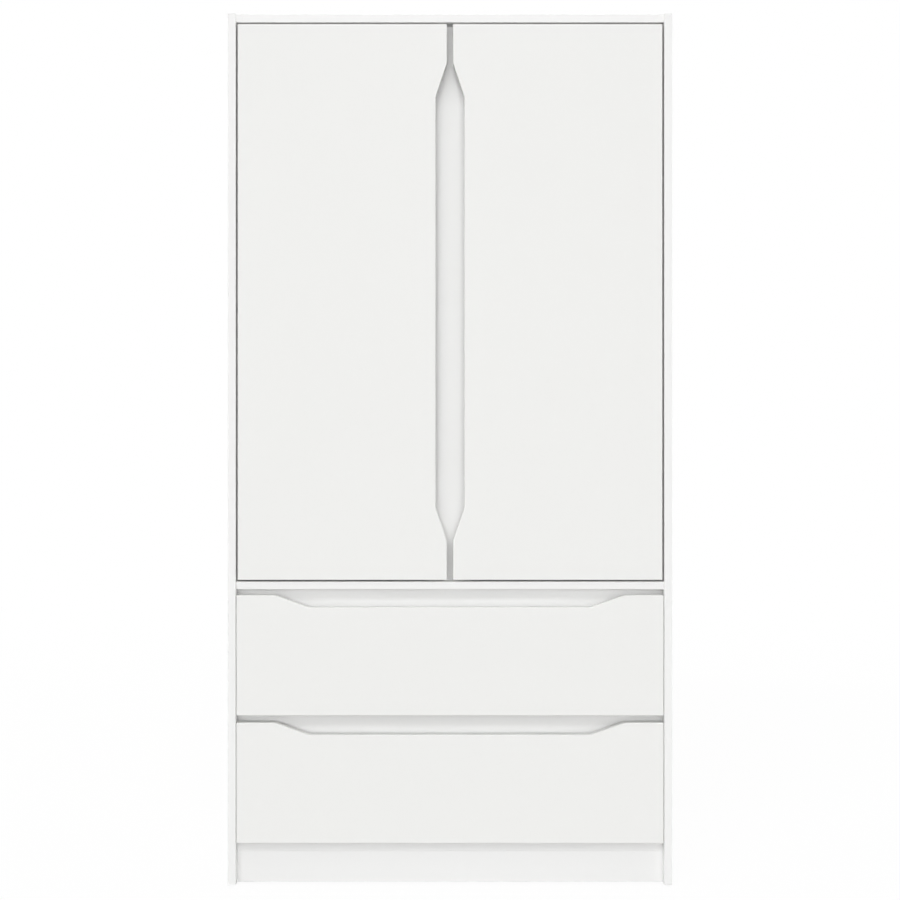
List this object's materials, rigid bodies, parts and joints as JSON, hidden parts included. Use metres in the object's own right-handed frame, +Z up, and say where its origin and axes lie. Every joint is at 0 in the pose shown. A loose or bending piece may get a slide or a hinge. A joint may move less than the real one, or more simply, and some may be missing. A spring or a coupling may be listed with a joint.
{
  "type": "wardrobe",
  "caption": "Tall white board wardrobe with hinged doors over drawers, tapered grip cut-outs in place of handles, and a plain plinth; holds hanging and folded clothes.",
  "frame": {"origin": "on the floor, under the middle of the carcass", "axes": "+Z up, +X to the right of someone facing the doors, the front faces -Y"},
  "size_m": [0.9, 0.5, 1.768],
  "materials": {
    "white_board": "white melamine on chipboard, satin",
    "front_board": "white foil on board, satin, with rounded edges",
    "drawer_board": "white foil on chipboard, matt",
    "white_hardboard": "white lacquered hardboard, matt",
    "white_plastic": "moulded, satin",
    "glide_plastic": "moulded grey polyethylene",
    "nickel_steel": "pressed steel, nickel plated",
    "zinc_steel": "rolled steel, bright zinc",
    "chrome_tube": "chromed oval steel tube"
  },
  "bodies": {
    "carcass": {"left_side_panel": "white_board", "right_side_panel": "white_board", "top_panel": "white_board", "middle_shelf": "white_board", "bottom_panel": "white_board", "plinth": "white_board", "rear_plinth_rail": "white_board", "centre_stile": "white_board", "upper_drawer_rail": "white_board", "lower_drawer_rail": "white_board", "hat_shelf": "white_board", "left_back_panel": "white_hardboard", "right_back_panel": "white_hardboard", "back_joint_strip": "white_plastic", "foot_glides": "glide_plastic", "shelf_pins": "zinc_steel", "hanging_rail": "chrome_tube", "rail_sockets": "white_plastic", "left_hinge_arms": "nickel_steel", "left_hinge_plates": "nickel_steel", "right_hinge_arms": "nickel_steel", "right_hinge_plates": "nickel_steel", "upper_drawer_left_slide_outer": "zinc_steel", "upper_drawer_right_slide_outer": "zinc_steel", "lower_drawer_left_slide_outer": "zinc_steel", "lower_drawer_right_slide_outer": "zinc_steel"},
    "left_door": {"left_door": "front_board", "left_hinge_cups": "nickel_steel", "left_hinge_pins": "nickel_steel"},
    "right_door": {"right_door": "front_board", "right_hinge_cups": "nickel_steel", "right_hinge_pins": "nickel_steel"},
    "upper_drawer": {"upper_drawer_front": "front_board", "upper_drawer_left_side": "drawer_board", "upper_drawer_right_side": "drawer_board", "upper_drawer_back": "drawer_board", "upper_drawer_bottom": "white_hardboard", "upper_drawer_left_slide_inner": "zinc_steel", "upper_drawer_right_slide_inner": "zinc_steel"},
    "upper_drawer_slide_middles": {"upper_drawer_left_slide_middle": "zinc_steel", "upper_drawer_right_slide_middle": "zinc_steel"},
    "lower_drawer": {"lower_drawer_front": "front_board", "lower_drawer_left_side": "drawer_board", "lower_drawer_right_side": "drawer_board", "lower_drawer_back": "drawer_board", "lower_drawer_bottom": "white_hardboard", "lower_drawer_left_slide_inner": "zinc_steel", "lower_drawer_right_slide_inner": "zinc_steel"},
    "lower_drawer_slide_middles": {"lower_drawer_left_slide_middle": "zinc_steel", "lower_drawer_right_slide_middle": "zinc_steel"}
  },
  "joints": [
    {"name": "left_door_hinge", "type": "hinge", "parent": "carcass", "child": "left_door", "pos_m": [-0.4045, -0.2405, 1.18375], "axis": [0, 0, -1], "range_deg": [0, 100]},
    {"name": "right_door_hinge", "type": "hinge", "parent": "carcass", "child": "right_door", "pos_m": [0.4045, -0.2405, 1.18375], "axis": [0, 0, 1], "range_deg": [0, 100]},
    {"name": "upper_drawer_slide", "type": "slide", "parent": "carcass", "child": "upper_drawer", "axis": [0, -1, 0], "range_m": [0, 0.4]},
    {"name": "upper_drawer_middle_slide", "type": "slide", "parent": "carcass", "child": "upper_drawer_slide_middles", "axis": [0, -1, 0], "range_m": [0, 0.2]},
    {"name": "lower_drawer_slide", "type": "slide", "parent": "carcass", "child": "lower_drawer", "axis": [0, -1, 0], "range_m": [0, 0.4]},
    {"name": "lower_drawer_middle_slide", "type": "slide", "parent": "carcass", "child": "lower_drawer_slide_middles", "axis": [0, -1, 0], "range_m": [0, 0.2]}
  ],
  "couplings": [
    {"joint": "upper_drawer_middle_slide", "follows": "upper_drawer_slide", "ratio": 0.5},
    {"joint": "lower_drawer_middle_slide", "follows": "lower_drawer_slide", "ratio": 0.5}
  ]
}
